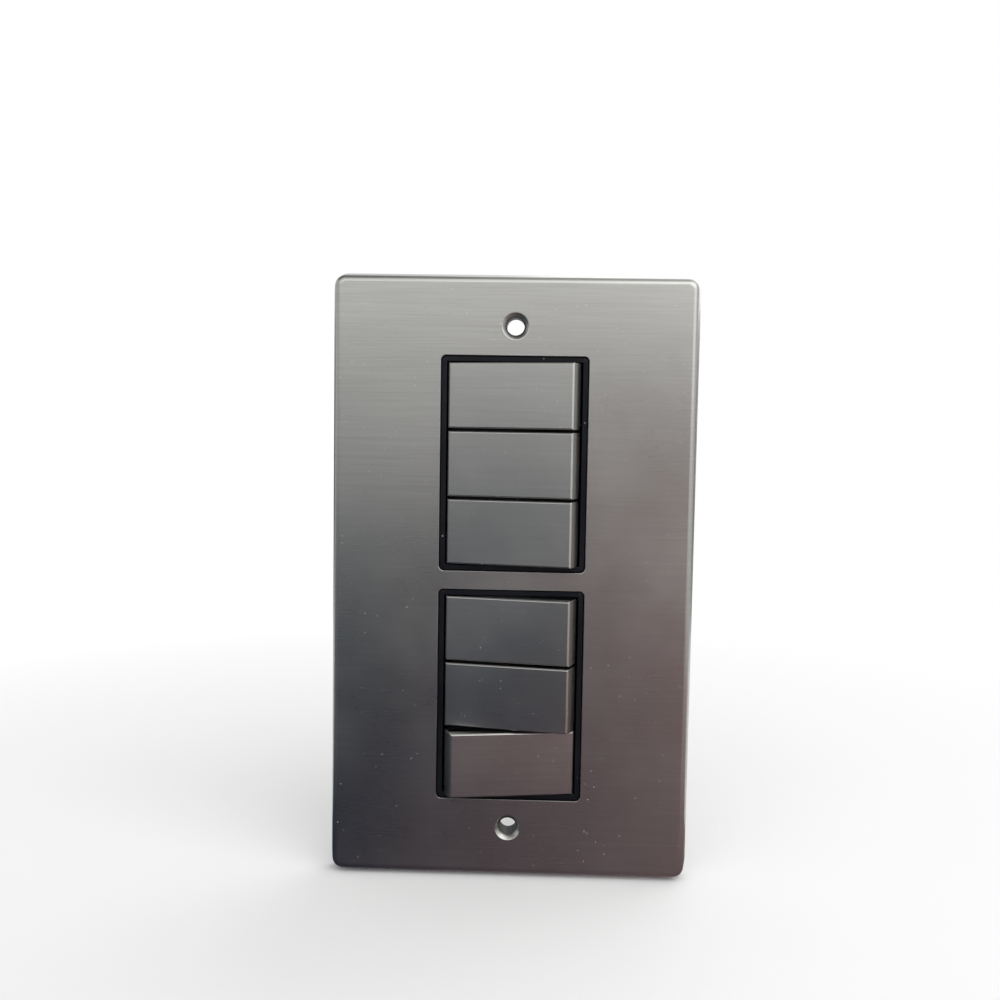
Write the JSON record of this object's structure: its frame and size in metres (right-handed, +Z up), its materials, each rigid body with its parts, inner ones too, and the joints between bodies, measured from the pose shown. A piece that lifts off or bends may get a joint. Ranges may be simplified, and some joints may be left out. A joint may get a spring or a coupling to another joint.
{
  "type": "multi-gang light switch",
  "caption": "Brushed-metal wall switch plate with black inserts that frame rows of metal-capped rockers, each tipping a contact blade between terminals in the bases behind.",
  "frame": {"origin": "midway between the fixing holes, on the wall plane", "axes": "+X right, +Z up along the plate's long side, +Y into the wall; the rockers face -Y"},
  "size_m": [0.088, 0.0278, 0.146],
  "materials": {
    "plate_metal": "fine brush lines along X, satin",
    "cap_metal": "fine brush lines along the rocker, satin",
    "insert_plastic": "fine satin moulding",
    "rocker_plastic": "satin moulding",
    "frame_plastic": "fine spark-eroded moulding",
    "base_plastic": "satin off-white moulding",
    "plunger_plastic": "natural nylon",
    "brass": "stamped, bright",
    "screw_steel": "zinc plated",
    "spring_steel": "drawn wire",
    "blade_copper": "stamped copper alloy"
  },
  "bodies": {
    "housing": {"front_plate": "plate_metal", "mounting_frame": "frame_plastic", "upper_insert": "insert_plastic", "lower_insert": "insert_plastic", "upper_base": "base_plastic", "lower_base": "base_plastic", "earth_terminal": "brass", "terminal_screws": "screw_steel", "common_terminal_1": "brass", "load_terminal_1": "brass", "common_terminal_2": "brass", "load_terminal_2": "brass", "common_terminal_3": "brass", "load_terminal_3": "brass", "common_terminal_4": "brass", "load_terminal_4": "brass", "common_terminal_5": "brass", "load_terminal_5": "brass", "common_terminal_6": "brass", "load_terminal_6": "brass"},
    "switch_1": {"rocker_1": "rocker_plastic", "rocker_cap_1": "cap_metal", "rocker_spring_1": "spring_steel", "plunger_1": "plunger_plastic"},
    "contact_1": {"contact_blade_1": "blade_copper"},
    "switch_2": {"rocker_2": "rocker_plastic", "rocker_cap_2": "cap_metal", "rocker_spring_2": "spring_steel", "plunger_2": "plunger_plastic"},
    "contact_2": {"contact_blade_2": "blade_copper"},
    "switch_3": {"rocker_3": "rocker_plastic", "rocker_cap_3": "cap_metal", "rocker_spring_3": "spring_steel", "plunger_3": "plunger_plastic"},
    "contact_3": {"contact_blade_3": "blade_copper"},
    "switch_4": {"rocker_4": "rocker_plastic", "rocker_cap_4": "cap_metal", "rocker_spring_4": "spring_steel", "plunger_4": "plunger_plastic"},
    "contact_4": {"contact_blade_4": "blade_copper"},
    "switch_5": {"rocker_5": "rocker_plastic", "rocker_cap_5": "cap_metal", "rocker_spring_5": "spring_steel", "plunger_5": "plunger_plastic"},
    "contact_5": {"contact_blade_5": "blade_copper"},
    "switch_6": {"rocker_6": "rocker_plastic", "rocker_cap_6": "cap_metal", "rocker_spring_6": "spring_steel", "plunger_6": "plunger_plastic"},
    "contact_6": {"contact_blade_6": "blade_copper"}
  },
  "joints": [
    {"name": "rocker_1_tilt", "type": "hinge", "parent": "housing", "child": "switch_1", "pos_m": [0, -0.00365, 0.04395], "axis": [0, 0, 1], "range_deg": [0, 19]},
    {"name": "blade_1_tilt", "type": "hinge", "parent": "housing", "child": "contact_1", "pos_m": [0, 0.00605, 0.04395], "axis": [0, 0, 1], "range_deg": [-14, 0]},
    {"name": "rocker_2_tilt", "type": "hinge", "parent": "housing", "child": "switch_2", "pos_m": [0, -0.00365, 0.0278], "axis": [0, 0, 1], "range_deg": [0, 19]},
    {"name": "blade_2_tilt", "type": "hinge", "parent": "housing", "child": "contact_2", "pos_m": [0, 0.00605, 0.0278], "axis": [0, 0, 1], "range_deg": [-14, 0]},
    {"name": "rocker_3_tilt", "type": "hinge", "parent": "housing", "child": "switch_3", "pos_m": [0, -0.00365, 0.01165], "axis": [0, 0, 1], "range_deg": [0, 19]},
    {"name": "blade_3_tilt", "type": "hinge", "parent": "housing", "child": "contact_3", "pos_m": [0, 0.00605, 0.01165], "axis": [0, 0, 1], "range_deg": [-14, 0]},
    {"name": "rocker_4_tilt", "type": "hinge", "parent": "housing", "child": "switch_4", "pos_m": [0, -0.00365, -0.01165], "axis": [0, 0, 1], "range_deg": [0, 19]},
    {"name": "blade_4_tilt", "type": "hinge", "parent": "housing", "child": "contact_4", "pos_m": [0, 0.00605, -0.01165], "axis": [0, 0, 1], "range_deg": [-14, 0]},
    {"name": "rocker_5_tilt", "type": "hinge", "parent": "housing", "child": "switch_5", "pos_m": [0, -0.00365, -0.0278], "axis": [0, 0, 1], "range_deg": [0, 19]},
    {"name": "blade_5_tilt", "type": "hinge", "parent": "housing", "child": "contact_5", "pos_m": [0, 0.00605, -0.0278], "axis": [0, 0, 1], "range_deg": [-14, 0]},
    {"name": "rocker_6_tilt", "type": "hinge", "parent": "housing", "child": "switch_6", "pos_m": [0, -0.00365, -0.04395], "axis": [0, 0, 1], "range_deg": [-19, 0]},
    {"name": "blade_6_tilt", "type": "hinge", "parent": "housing", "child": "contact_6", "pos_m": [0, 0.00605, -0.04395], "axis": [0, 0, 1], "range_deg": [0, 14]}
  ],
  "couplings": [
    {"joint": "blade_1_tilt", "follows": "rocker_1_tilt", "ratio": -0.7368},
    {"joint": "blade_2_tilt", "follows": "rocker_2_tilt", "ratio": -0.7368},
    {"joint": "blade_3_tilt", "follows": "rocker_3_tilt", "ratio": -0.7368},
    {"joint": "blade_4_tilt", "follows": "rocker_4_tilt", "ratio": -0.7368},
    {"joint": "blade_5_tilt", "follows": "rocker_5_tilt", "ratio": -0.7368},
    {"joint": "blade_6_tilt", "follows": "rocker_6_tilt", "ratio": -0.7368}
  ]
}
